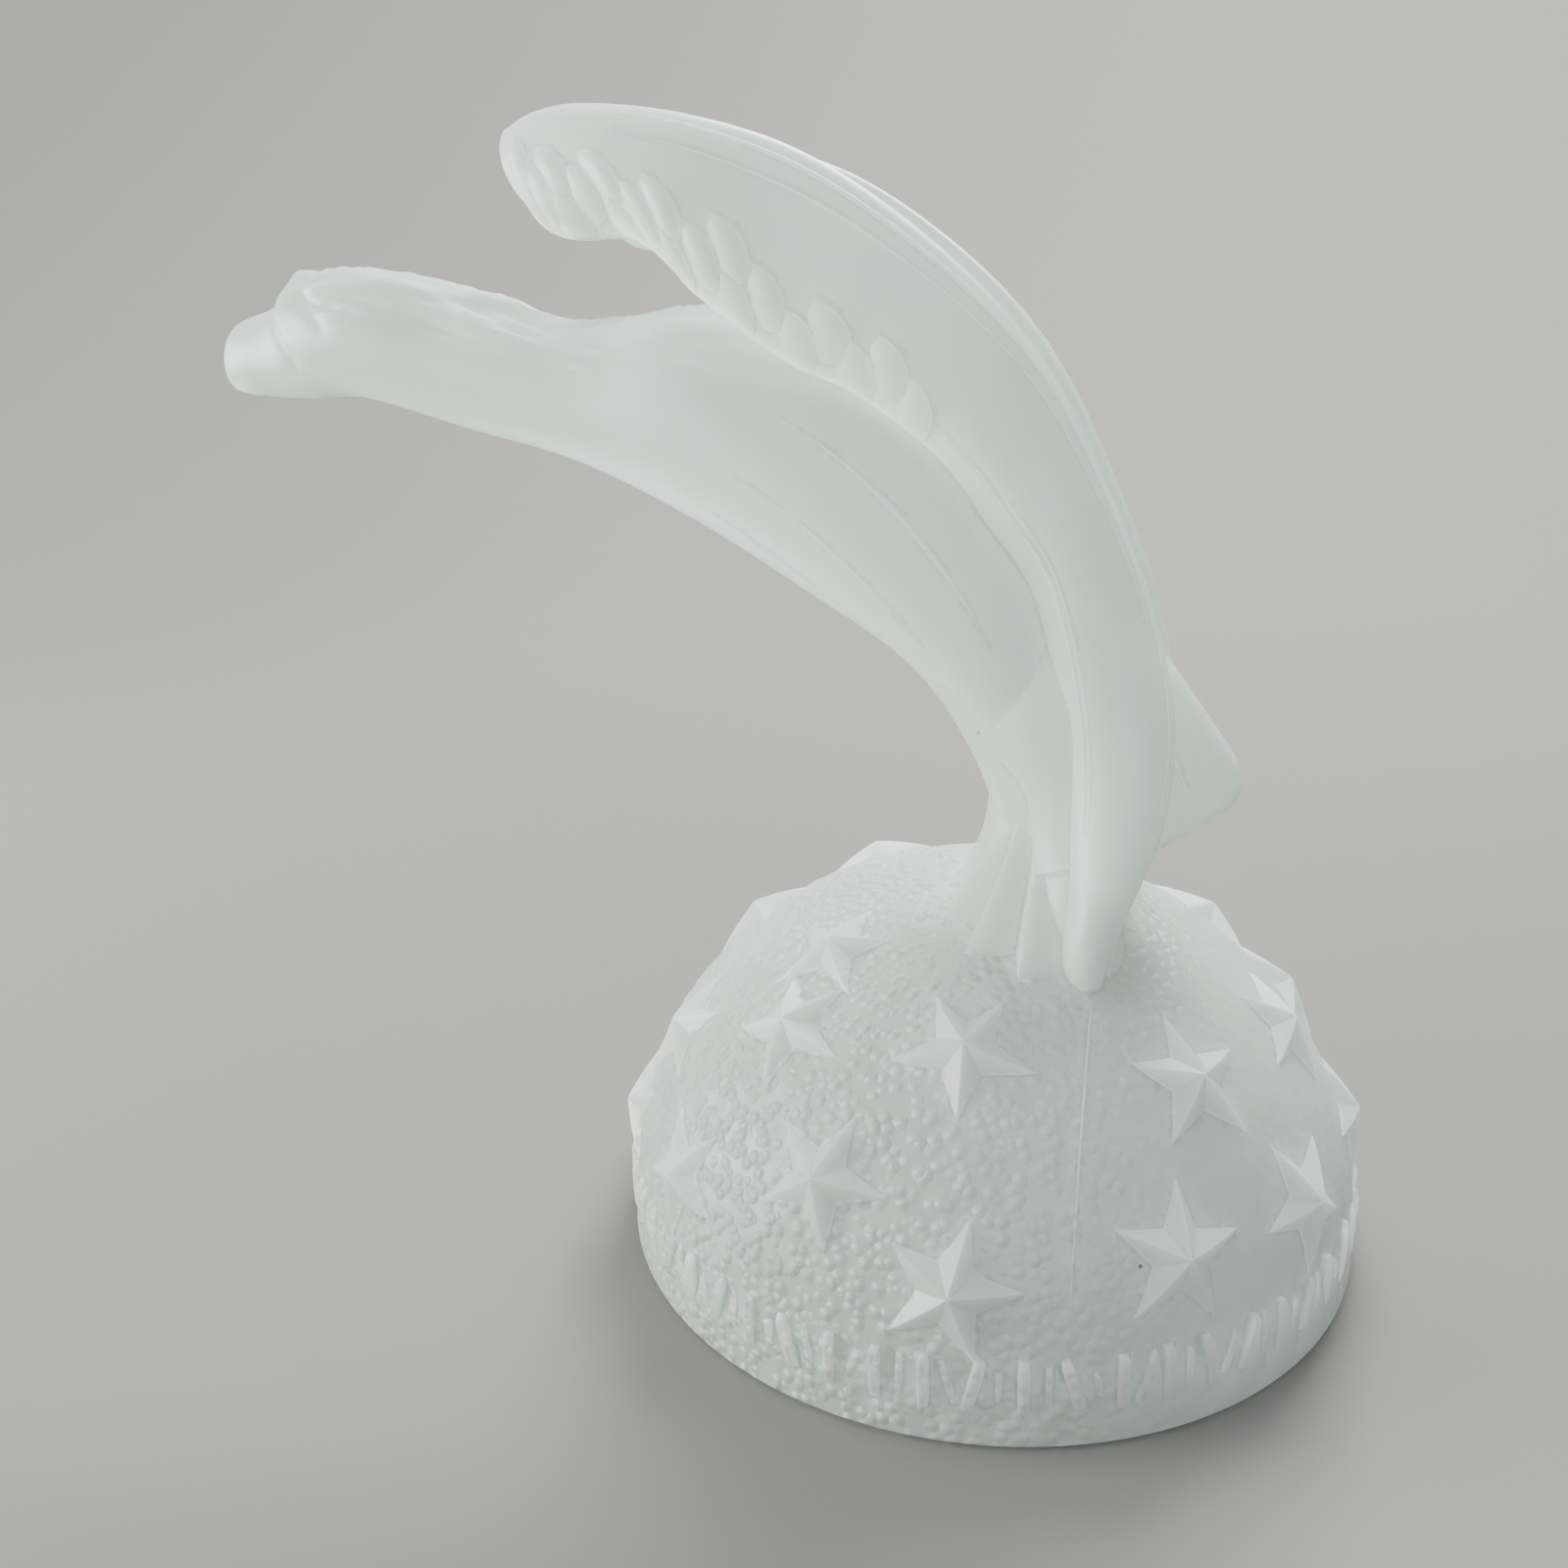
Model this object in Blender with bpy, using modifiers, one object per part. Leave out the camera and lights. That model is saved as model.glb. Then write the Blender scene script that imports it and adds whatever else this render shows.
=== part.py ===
# A frosted glass eagle standing on a starred dome, cast as one piece.
# Metres, +Z up. The origin is the centre of the underside, and the eagle faces -X.

import math

import bmesh
import bpy
import numpy as np
from mathutils import Matrix, Vector

# Base: a round block with a short wall and a high dome
base_radius = 0.040
wall_height = 0.0086
dome_height = 0.0392
wall_draft = 0.0006
foot_chamfer = 0.0005
dome_roundness = 2.3
dome_fullness = 0.62
base_segments = 60
dome_rows = 11

# Row of strokes round the wall, in place of an inscription
rim_height = 0.0036
stroke_height = 0.0056
stroke_width = 0.0011
stroke_rise = 0.0005
stroke_count = 56
stroke_slants = (0, 14, 0, -16, 0, 0, -12, 18, 0, 16)

# Raised stars. Each place is an azimuth in degrees, 0 towards -Y and 90 towards +X,
# a share of the way down the dome, and a turn in degrees.
star_radius = 0.0068
star_rise = 0.0019
star_sink = 0.0008
star_bite = 0.0002
star_points = 5
star_waist = 0.42
star_places = (
    (-72, 0.85, 20), (-45, 0.81, 40), (3, 0.82, 57), (35, 0.78, 60), (61, 0.80, 20), (92, 0.83, 10),
    (128, 0.80, 50), (161, 0.81, 15), (-166, 0.79, 65), (-134, 0.80, 30), (-103, 0.80, 0),
    (-18, 0.67, 54), (-68, 0.61, 25), (-37, 0.45, 46), (3, 0.41, 35), (48, 0.51, 61), (83, 0.55, 29),
    (-100, 0.45, 10), (118, 0.43, 40), (108, 0.61, 15), (140, 0.57, 5), (176, 0.50, 33), (-140, 0.55, 60),
    (-45, 0.29, 20), (-133, 0.30, 50),
)

# Eagle: the height of the figure above the dome, and its pose as shares of that height
eagle_height = 0.0764
root_depth = 0.006

# Belly x and z, back x and z, half width, from the beak to the foot
body_stations = (
    (-1.116, 0.708, -1.115, 0.726, 0.010),
    (-1.096, 0.679, -1.088, 0.772, 0.036),
    (-1.016, 0.669, -1.016, 0.796, 0.056),
    (-0.970, 0.667, -0.972, 0.833, 0.073),
    (-0.880, 0.665, -0.880, 0.841, 0.089),
    (-0.723, 0.620, -0.712, 0.806, 0.092),
    (-0.565, 0.576, -0.539, 0.759, 0.105),
    (-0.408, 0.503, -0.350, 0.772, 0.136),
    (-0.241, 0.403, -0.094, 0.672, 0.156),
    (-0.105, 0.309, 0.073, 0.492, 0.146),
    (-0.026, 0.199, 0.141, 0.314, 0.117),
    (0.010, 0.094, 0.162, 0.126, 0.094),
    (-0.012, 0.020, 0.186, 0.020, 0.118),
)
body_sides = 20
body_rings = 36
body_squareness = 0.9

# Outer edge x, z and side, inner edge x, z and side, from the wrist to the tip
wing_stations = (
    (-0.590, 0.985, 0.105, -0.572, 0.905, 0.118),
    (-0.545, 1.001, 0.112, -0.515, 0.856, 0.130),
    (-0.474, 1.004, 0.122, -0.410, 0.845, 0.142),
    (-0.348, 0.983, 0.134, -0.324, 0.770, 0.150),
    (-0.215, 0.938, 0.136, -0.234, 0.703, 0.136),
    (-0.096, 0.863, 0.131, -0.147, 0.660, 0.126),
    (0.012, 0.767, 0.116, -0.052, 0.587, 0.120),
    (0.091, 0.659, 0.084, 0.009, 0.504, 0.114),
    (0.158, 0.520, 0.066, 0.061, 0.428, 0.110),
    (0.211, 0.388, 0.062, 0.096, 0.310, 0.110),
    (0.244, 0.248, 0.080, 0.118, 0.182, 0.120),
    (0.235, 0.124, 0.125, 0.125, 0.060, 0.152),
    (0.196, 0.020, 0.168, 0.120, -0.016, 0.180),
)
wing_tip = (0.150, 0.164, 0.104, 0.184)
wing_thickness = 0.0048
wing_camber = 0.0012
wing_bluntness = 0.75
wrist_thickness = 0.45
wrist_length = 0.18
wing_sides = 16
wing_rings = 31

# Scalloped feathers in rows along the inner edge of each wing. The first place, the pace
# and the stagger are shares of the wing's length, and the row values shares of its width.
feather_rows = 3
feather_count = 5
feather_start = 0.06
feather_pace = 0.085
feather_stagger = 0.035
first_row = 0.12
row_pace = 0.15
row_narrowing = 0.09
feather_length = 0.0072
feather_width = 0.0052
feather_thickness = 0.0008
feather_bevel = 0.70
feather_lift = 5.0
feather_lean = 14.0
feather_sides = 10

# Tail blade between the wings: its outline in shares of the eagle's height
tail_outline = (
    (0.090, 0.400), (0.228, 0.326), (0.334, 0.176),
    (0.334, 0.130), (0.230, 0.052), (0.080, 0.070),
)
tail_thickness = 0.0070
tail_rounding = 0.0022

# Thighs: x, z, side and radius from the top down to a spur that ties the wing to the foot
thigh_stations = (
    (0.055, 0.364, 0.046, 0.075),
    (0.085, 0.271, 0.066, 0.080),
    (0.121, 0.184, 0.086, 0.054),
    (0.129, 0.098, 0.100, 0.047),
    (0.129, 0.030, 0.130, 0.043),
    (0.130, -0.060, 0.160, 0.056),
)
thigh_flatness = 0.7
thigh_slant = 0.45
thigh_rings = 11
thigh_sides = 12

# Foot: a fluted skirt that spreads into toes on the dome
foot_centre = 0.083
foot_top = 0.170
foot_neck = 0.078
toe_reach = 0.178
toe_spread = 0.058
toe_angles = (0, 46, 67, 87, 118, 150, 180)
toe_flare = 2.4
flute_depth = 0.20
flute_place = 0.78
foot_rings = 6

glass_colour = (0.60, 0.67, 0.63, 1.0)
glass_roughness = 0.5
glass_index = 1.5
glass_clearness = 0.6

merge_distance = 0.00001
share_step = 0.02


def smooth_path(rows, count):
    """Points at even steps along a smooth curve through the rows, end rows included."""
    rows = np.array(rows, float)
    padded = np.vstack([2 * rows[0] - rows[1], rows, 2 * rows[-1] - rows[-2]])
    at = np.linspace(0, len(rows) - 1, count)
    leg = np.minimum(at.astype(int), len(rows) - 2)
    t = (at - leg)[:, None]
    before, start, end, after = (padded[leg + step] for step in range(4))
    return 0.5 * (2 * start + (end - before) * t + (2 * before - 5 * start + 4 * end - after) * t ** 2
                  + (3 * (start - end) + after - before) * t ** 3)


def dome_point(share):
    """Radius and height on the dome: share 0 is the top, and 1 is where the wall begins."""
    angle = share * math.pi / 2
    wall_top = base_radius - wall_draft
    radius = wall_top * math.sin(angle) ** (2 / dome_roundness)
    rise = (dome_height - wall_height) * max(math.cos(angle), 0.0) ** (2 * dome_fullness)
    return radius, wall_height + rise


def dome_level(x, y):
    """Height of the dome's surface over a point of the plan."""
    share = min(math.hypot(x, y) / (base_radius - wall_draft), 1.0)
    return wall_height + (dome_height - wall_height) * (1 - share ** dome_roundness) ** dome_fullness


def drawn_in(point):
    """The point, or where it hangs clear of the dome or the wall, the place just inside them."""
    reach = base_radius - wall_draft
    if point.z > wall_height:
        rise = min((point.z - wall_height) / (dome_height - wall_height), 1.0)
        reach *= (1 - rise ** (1 / dome_fullness)) ** (1 / dome_roundness)
    scale = min(1.0, max(reach - star_bite, 0.0) / point.xy.length)
    return Vector((point.x * scale, point.y * scale, point.z))


def new_object(name, mesh, collection):
    piece = bpy.data.objects.new(name, mesh)
    collection.objects.link(piece)
    return piece


def mesh_of(name, builder):
    """A mesh filled by a function that takes a bmesh."""
    mesh = bpy.data.meshes.new(name)
    shape = bmesh.new()
    builder(shape)
    bmesh.ops.recalc_face_normals(shape, faces=shape.faces)
    shape.to_mesh(mesh)
    shape.free()
    return mesh


def loft_mesh(name, rings):
    """A closed skin over rings of equal size, with a flat face at each end."""
    def build(shape):
        rows = [[shape.verts.new(point) for point in ring] for ring in rings]
        sides = len(rows[0])
        for low, high in zip(rows, rows[1:]):
            for i in range(sides):
                j = (i + 1) % sides
                shape.faces.new((low[i], low[j], high[j], high[i]))
        shape.faces.new(rows[0][::-1])
        shape.faces.new(rows[-1])
    return mesh_of(name, build)


def base_block(collection):
    """The turned block: underside, wall and dome in one profile."""
    profile = [(0.0, dome_height)]
    profile += [dome_point(row / dome_rows) for row in range(1, dome_rows + 1)]
    profile += [(base_radius, foot_chamfer), (base_radius - foot_chamfer, 0.0), (0.0, 0.0)]
    mesh = bpy.data.meshes.new("base_block")
    mesh.from_pydata([(x, 0, z) for x, z in profile], [(i, i + 1) for i in range(len(profile) - 1)], [])
    block = new_object("base_block", mesh, collection)
    screw = block.modifiers.new("turn", "SCREW")
    screw.steps = base_segments
    screw.render_steps = base_segments
    screw.use_merge_vertices = True
    screw.merge_threshold = merge_distance
    return block


def stroke(number, collection):
    """One raised bar on the wall, upright or slanted, and not a letter."""
    angle = 2 * math.pi * number / stroke_count
    slant = math.radians(stroke_slants[number % len(stroke_slants)])

    def build(shape):
        bmesh.ops.create_cube(shape, size=1.0)
        depth = 4 * stroke_rise + 2 * wall_draft
        sizes = Matrix.Diagonal((stroke_width, depth, stroke_height, 1))
        middle = rim_height + stroke_height / 2
        outwards = Matrix.Translation((0, -(base_radius - wall_draft / 2 + stroke_rise - depth / 2), middle))
        turn = Matrix.Rotation(angle, 4, "Z") @ outwards @ Matrix.Rotation(slant, 4, "Y") @ sizes
        bmesh.ops.transform(shape, matrix=turn, verts=shape.verts)
    return new_object("stroke_%02d" % number, mesh_of("stroke", build), collection)


def star(number, azimuth, share, spin, collection):
    """A five-pointed star with folded arms, lying on the dome."""
    turn = math.radians(azimuth)
    radius, level = dome_point(share)
    near = dome_point(share - share_step)
    far = dome_point(share + share_step)
    slope = math.atan2(near[1] - far[1], far[0] - near[0])

    def build(shape):
        bmesh.ops.create_cone(shape, segments=2 * star_points, radius1=star_radius, radius2=0.0,
                              depth=star_rise + star_sink, cap_ends=True, cap_tris=False)
        for vert in shape.verts:
            corner = round((math.atan2(vert.co.y, vert.co.x) - math.pi / 2) / math.pi * star_points)
            if vert.co.xy.length > star_radius / 2 and corner % 2:
                vert.co.xy *= star_waist
            vert.co.z += (star_rise - star_sink) / 2
        place = (Matrix.Rotation(turn, 4, "Z") @ Matrix.Translation((0, -radius, level))
                 @ Matrix.Rotation(slope, 4, "X")
                 @ Matrix.Rotation(math.radians(spin), 4, "Z"))
        rim = [vert for vert in shape.verts if vert.co.z < 0]
        bmesh.ops.transform(shape, matrix=place, verts=shape.verts)
        for vert in rim:
            vert.co = drawn_in(vert.co)
    return new_object("star_%02d" % number, mesh_of("star", build), collection)


def figure_point(x, y, z):
    """Shares of the eagle's height, from the top of the dome, as a place in metres."""
    return Vector((x * eagle_height, y * eagle_height, dome_height + z * eagle_height))


def body(collection):
    """Beak, head, neck and trunk: ovals between the belly line and the back line."""
    sections = smooth_path(body_stations, body_rings)
    root = sections[-1].copy()
    root[[1, 3]] = -root_depth / eagle_height
    rings = []
    for belly_x, belly_z, back_x, back_z, width in np.vstack([sections, root]):
        ring = []
        for side in range(body_sides):
            angle = 2 * math.pi * side / body_sides
            up = (1 - math.cos(angle)) / 2
            across = math.copysign(abs(math.sin(angle)) ** body_squareness, math.sin(angle))
            x = belly_x + (back_x - belly_x) * up
            z = belly_z + (back_z - belly_z) * up
            ring.append(figure_point(x, width * across, z))
        rings.append(ring)
    return new_object("body", loft_mesh("body", rings), collection)


def wing_sections():
    """Outer and inner edge of one wing, as rows of places, with the tip sunk into the dome."""
    outer_x, outer_side, inner_x, inner_side = wing_tip
    tip_z = []
    for x, side in ((outer_x, outer_side), (inner_x, inner_side)):
        level = dome_level(x * eagle_height, side * eagle_height) - root_depth
        tip_z.append((level - dome_height) / eagle_height)
    tip = (outer_x, tip_z[0], outer_side, inner_x, tip_z[1], inner_side)
    rows = smooth_path(wing_stations + (tip,), wing_rings)
    outer = [figure_point(x, side, z) for x, z, side in rows[:, :3]]
    inner = [figure_point(x, side, z) for x, z, side in rows[:, 3:]]
    return outer, inner


def wing_frame(outer, inner, row):
    """Chord, direction along the wing and outward normal at one row of the wing."""
    last = wing_rings - 1
    chord = outer[row] - inner[row]
    along = (outer[min(row + 1, last)] - outer[max(row - 1, 0)]).normalized()
    normal = chord.cross(along).normalized()
    if normal.y < 0:
        normal = -normal
    return chord, along, normal


def wing(side, collection):
    """A sickle-shaped blade: lens sections from the inner edge to the outer edge."""
    outer, inner = wing_sections()
    rings = []
    for row in range(wing_rings):
        chord, along, normal = wing_frame(outer, inner, row)
        growth = min(1.0, row / wing_rings / wrist_length)
        thickness = wing_thickness * (wrist_thickness + (1 - wrist_thickness) * growth)
        ring = []
        for step in range(wing_sides):
            angle = 2 * math.pi * (step + 0.5) / wing_sides
            across = (1 - math.copysign(abs(math.cos(angle)) ** wing_bluntness, math.cos(angle))) / 2
            swell = thickness / 2 * math.copysign(abs(math.sin(angle)) ** wing_bluntness, math.sin(angle))
            bow = wing_camber * math.sin(math.pi * across)
            ring.append(inner[row] + chord * across + normal * (swell + bow))
        rings.append([(point.x, side * point.y, point.z) for point in ring])
    return new_object("wing", loft_mesh("wing", rings), collection)


def feather(side, row, number, collection):
    """One scallop: a bevelled oval plate that lies on the wing's face, its free end lifted."""
    outer, inner = wing_sections()
    place = feather_start + feather_pace * number + feather_stagger * (row % 2)
    at = round(place * wing_rings)
    across = first_row + row_pace * row * (1 - row_narrowing * number)
    chord, along, normal = wing_frame(outer, inner, at)
    face = (1 - abs(1 - 2 * across) ** (2 / wing_bluntness)) ** (wing_bluntness / 2)
    bow = wing_thickness / 2 * face + wing_camber * math.sin(math.pi * across)
    centre = inner[at] + chord * across + normal * bow

    def build(shape):
        bmesh.ops.create_cone(shape, segments=feather_sides, radius1=0.5, radius2=feather_bevel / 2,
                              depth=1.0, cap_ends=True, cap_tris=False)
        lift = (Matrix.Rotation(math.radians(-feather_lean), 4, "Z")
                @ Matrix.Rotation(math.radians(-feather_lift), 4, "Y"))
        sizes = Matrix.Diagonal((feather_length, feather_width, 2 * feather_thickness, 1))
        axes = Matrix((along, normal.cross(along), normal)).transposed().to_4x4()
        whole = Matrix.Translation(centre) @ axes @ lift @ sizes
        if side < 0:
            whole = Matrix.Diagonal((1, -1, 1, 1)) @ whole
        bmesh.ops.transform(shape, matrix=whole, verts=shape.verts)
    return new_object("feather", mesh_of("feather", build), collection)


def tail(collection):
    """The tail blade: an upright plate with a rounded edge, cut square at its end."""
    outline = bpy.data.curves.new("tail", "CURVE")
    outline.dimensions = "2D"
    outline.fill_mode = "BOTH"
    outline.extrude = tail_thickness / 2 - tail_rounding
    outline.bevel_depth = tail_rounding
    outline.bevel_resolution = 2
    outline.offset = -tail_rounding
    line = outline.splines.new("POLY")
    line.points.add(len(tail_outline) - 1)
    for point, (x, z) in zip(line.points, tail_outline):
        point.co = (x * eagle_height, dome_height + z * eagle_height, 0, 1)
    line.use_cyclic_u = True
    guide = new_object("tail_outline", outline, collection)
    guide.rotation_euler = (math.pi / 2, 0, 0)
    bpy.context.view_layer.update()
    solid = bpy.data.meshes.new_from_object(guide.evaluated_get(bpy.context.evaluated_depsgraph_get()))
    shape = bmesh.new()
    shape.from_mesh(solid)
    bmesh.ops.remove_doubles(shape, verts=shape.verts, dist=merge_distance)
    shape.to_mesh(solid)
    shape.free()
    blade = new_object("tail", solid, collection)
    blade.matrix_world = guide.matrix_world
    bpy.data.objects.remove(guide)
    return blade


def thigh(side, collection):
    """A tapered leg feather that hangs beside the trunk and ends above the dome."""
    rings = []
    for x, z, y, radius in smooth_path(thigh_stations, thigh_rings):
        ring = []
        for step in range(thigh_sides):
            angle = 2 * math.pi * step / thigh_sides
            reach = radius * math.cos(angle)
            swell = thigh_flatness * radius * math.sin(angle)
            ring.append(figure_point(x + reach, side * (y + swell), z + thigh_slant * reach))
        rings.append(ring)
    return new_object("thigh", loft_mesh("thigh", rings), collection)


def foot_skirt(collection):
    """The flared foot: pleats that widen downwards, and whose ridges run out into toes."""
    spokes = []
    for angle, following in zip(toe_angles, toe_angles[1:]):
        spokes += [(angle, 1.0), (angle + flute_place * (following - angle), 1 - flute_depth)]
    spokes += [(toe_angles[-1], 1.0)] + [(-angle, flute) for angle, flute in spokes[:0:-1]]
    rings = []
    for level in range(foot_rings + 1):
        drop = min(level / (foot_rings - 1), 1.0)
        ring = []
        for angle, flute in spokes:
            turn = math.radians(angle)
            reach = (toe_reach - toe_spread * math.cos(2 * turn)) * flute
            radius = foot_neck + (reach - foot_neck) * drop ** toe_flare
            x = foot_centre - radius * math.cos(turn)
            y = radius * math.sin(turn)
            ground = (dome_level(x * eagle_height, y * eagle_height) - dome_height) / eagle_height
            if level == foot_rings:
                ground -= root_depth / eagle_height
            ring.append(figure_point(x, y, foot_top + (ground - foot_top) * drop))
        rings.append(ring)
    return new_object("foot_skirt", loft_mesh("foot_skirt", rings), collection)


def join_all(block, pieces):
    """Fuse the pieces into the block with one exact union."""
    union = block.modifiers.new("cast", "BOOLEAN")
    union.operation = "UNION"
    union.solver = "EXACT"
    union.operand_type = "COLLECTION"
    union.collection = pieces
    union.use_self = True


def glass_material():
    material = bpy.data.materials.new("frosted_glass")
    material.use_nodes = True
    shader = material.node_tree.nodes["Principled BSDF"]
    shader.inputs["Base Color"].default_value = glass_colour
    shader.inputs["Roughness"].default_value = glass_roughness
    shader.inputs["Metallic"].default_value = 0.0
    shader.inputs["IOR"].default_value = glass_index
    shader.inputs["Transmission Weight"].default_value = glass_clearness
    return material


def main():
    for item in list(bpy.data.objects):
        bpy.data.objects.remove(item)
    eagle = bpy.data.collections.new("frosted_glass_eagle")
    forms = bpy.data.collections.new("cast_forms")
    for collection in (eagle, forms):
        bpy.context.scene.collection.children.link(collection)

    block = base_block(eagle)
    block.name = "glass_eagle"
    for number in range(stroke_count):
        stroke(number, forms)
    for number, (azimuth, share, spin) in enumerate(star_places):
        star(number, azimuth, share, spin, forms)
    body(forms)
    tail(forms)
    for side in (-1, 1):
        wing(side, forms)
        thigh(side, forms)
        for row in range(feather_rows):
            for number in range(feather_count):
                feather(side, row, number, forms)
    foot_skirt(forms)

    join_all(block, forms)
    for form in forms.objects:
        form.hide_render = True
        form.display_type = "WIRE"
    block.data.materials.append(glass_material())
    block.data.shade_smooth()
    weld = block.modifiers.new("weld", "WELD")
    weld.merge_threshold = merge_distance


main()
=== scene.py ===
import math

import bpy
import numpy as np
from mathutils import Matrix, Vector


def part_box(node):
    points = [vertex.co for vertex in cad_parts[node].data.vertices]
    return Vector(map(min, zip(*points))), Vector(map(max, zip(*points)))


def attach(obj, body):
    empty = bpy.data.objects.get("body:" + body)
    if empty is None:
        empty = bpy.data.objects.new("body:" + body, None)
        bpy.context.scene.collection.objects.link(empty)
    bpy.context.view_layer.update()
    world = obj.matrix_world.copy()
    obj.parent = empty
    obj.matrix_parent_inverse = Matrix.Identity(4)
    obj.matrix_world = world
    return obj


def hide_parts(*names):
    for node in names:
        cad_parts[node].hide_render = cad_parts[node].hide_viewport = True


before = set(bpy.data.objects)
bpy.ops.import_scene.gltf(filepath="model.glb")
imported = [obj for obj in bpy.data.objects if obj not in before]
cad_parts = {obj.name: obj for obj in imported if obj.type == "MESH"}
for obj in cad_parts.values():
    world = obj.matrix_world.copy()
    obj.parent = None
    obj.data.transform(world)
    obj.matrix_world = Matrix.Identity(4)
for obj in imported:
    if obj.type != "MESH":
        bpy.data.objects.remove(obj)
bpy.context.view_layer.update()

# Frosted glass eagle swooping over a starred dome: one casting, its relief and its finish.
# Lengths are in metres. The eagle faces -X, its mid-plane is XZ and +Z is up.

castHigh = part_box("glass_eagle")[1]
print("frame loaded")

# Base: a short wall under a high dome. Rows and around are the grid's steps.
base = dict(
    barProud=0.0002,            # how far the bars stand outside the foot
    domeHeight=0.0392, wallHeight=0.0086, draft=0.0006, chamfer=0.0005,
    roundness=2.3, fullness=0.62,
    around=336, domeRows=52, wallRows=10, topShare=0.04,
    lumpSize=0.0042, lumpDepth=0.00006, lumpSeed=3,
    topFade=(0.25, 0.5),        # shares of the radius between which the dome's lumps grow in
    edgeFade=0.002,             # height over the wall in which they grow in
    smoothFade=(-0.005, 0.022), smoothShare=0.75,       # the dome grows smoother between these x
    chipSize=0.0030, chipDepth=0.00022, chipSeed=5,
    chipStretch=0.5, chipTop=0.25,      # chips are long upright, and their outer side is cut flat
    chipStart=(0.0008, 0.003), chipEnd=(0.009, 0.012),  # heights between which they come and go
)
baseRadius = castHigh.y - base["barProud"]

# Figure: every place on the eagle is a share of the height between the dome's top and the wings' top
wingTopShare = 1.0056
figureHeight = (castHigh.z - base["domeHeight"]) / wingTopShare
rootDepth = 0.006               # how deep a form that stands on the dome is sunk into it


# Point on a smooth curve through rows, at place t of leg k:
# ((2b) + (c-a)t + (2a-5b+4c-d)t^2 + (3(b-c)+d-a)t^3) / 2, with a, b, c, d the four rows round the leg
def smoothAt(rows, at):
    rows = np.array(rows, float)
    padded = np.vstack([2 * rows[0] - rows[1], rows, 2 * rows[-1] - rows[-2]])
    at = np.clip(np.asarray(at, float), 0, len(rows) - 1)
    leg = np.minimum(at.astype(int), len(rows) - 2)
    t = (at - leg)[..., None]
    a, b, c, d = (padded[leg + step] for step in range(4))
    return 0.5 * (2 * b + (c - a) * t + (2 * a - 5 * b + 4 * c - d) * t ** 2 + (3 * (b - c) + d - a) * t ** 3)


# Smooth noise of about -1.5 to 1.5: the sum of cosines of position along many random directions
def wavyNoise(points, size, seed, waves=22):
    random = np.random.default_rng(seed)
    direction = random.normal(size=(waves, 3))
    direction /= np.linalg.norm(direction, axis=1, keepdims=True)
    direction *= (2 * math.pi / size * random.uniform(0.75, 1.35, waves))[:, None]
    phase = random.uniform(0, 2 * math.pi, waves)
    return np.cos(points @ direction.T + phase).sum(-1) * math.sqrt(2 / waves)


# 0 below low, 1 above high, and 3t^2 - 2t^3 between
def fadeIn(value, low, high):
    t = np.clip((value - low) / (high - low), 0, 1)
    return t * t * (3 - 2 * t)


# x to the power p, with x's own sign
def signedPower(x, p):
    return np.sign(x) * np.abs(x) ** p


# Vectors at unit length
def unit(vectors):
    return vectors / np.maximum(np.linalg.norm(vectors, axis=-1, keepdims=True), 1e-12)


# Closed skin over rings of points: quads between rings, and a fan to a middle point at each end.
# The volume, a sum of a.(b x c) / 6, tells which way the faces point, and turns them outwards.
def skin(name, rings):
    rows, sides = rings.shape[:2]
    points = np.vstack([rings.reshape(-1, 3), rings[0].mean(0), rings[-1].mean(0)])
    row = np.arange(rows - 1)[:, None] * sides
    here, there = np.arange(sides), (np.arange(sides) + 1) % sides
    quads = np.stack([row + here, row + there, row + sides + there, row + sides + here], -1).reshape(-1, 4)
    start = np.stack([there, here, np.full(sides, rows * sides)], -1)
    end = np.stack([here, there, np.full(sides, rows * sides + 1)], -1)
    end[:, :2] += (rows - 1) * sides
    triangles = np.vstack([quads[:, :3], quads[:, [0, 2, 3]], start, end])
    a, b, c = (points[triangles[:, k]] for k in range(3))
    if np.einsum("ij,ij->i", a, np.cross(b, c)).sum() < 0:
        quads, start, end = quads[:, ::-1], start[:, ::-1], end[:, ::-1]
    mesh = bpy.data.meshes.new(name)
    mesh.from_pydata(points, [], quads.tolist() + start.tolist() + end.tolist())
    piece = bpy.data.objects.new(name, mesh)
    castForms.append(piece)
    return piece


# Normals of a grid that is closed round each ring: across the product of its two directions, facing
# away from each ring's middle
def ringNormals(rings):
    down = np.gradient(rings, axis=0)
    aside = np.roll(rings, -1, axis=1) - np.roll(rings, 1, axis=1)
    normals = unit(np.cross(down, aside))
    away = rings - rings.mean(1, keepdims=True)
    return normals * np.sign(np.einsum("ijk,ijk->ij", normals, away))[..., None]


# Shares of the figure's height, counted from the dome's top, as places in metres
def figurePoint(x, y, z):
    return np.stack(np.broadcast_arrays(x * figureHeight, y * figureHeight,
                                        base["domeHeight"] + z * figureHeight), -1)


# Height of the dome over a point: wall + rise (1 - r^n)^f
def domeLevel(x, y):
    share = np.minimum(np.hypot(x, y) / (baseRadius - base["draft"]), 1)
    rise = base["domeHeight"] - base["wallHeight"]
    return base["wallHeight"] + rise * (1 - share ** base["roundness"]) ** base["fullness"]


# Radius and height of the dome's profile: r = R sin(a)^(2/n), z = wall + rise cos(a)^(2f)
def domeProfile(share):
    angle = share * math.pi / 2
    radius = (baseRadius - base["draft"]) * np.sin(angle) ** (2 / base["roundness"])
    rise = (base["domeHeight"] - base["wallHeight"]) * np.maximum(np.cos(angle), 0) ** (2 * base["fullness"])
    return radius, base["wallHeight"] + rise


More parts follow.
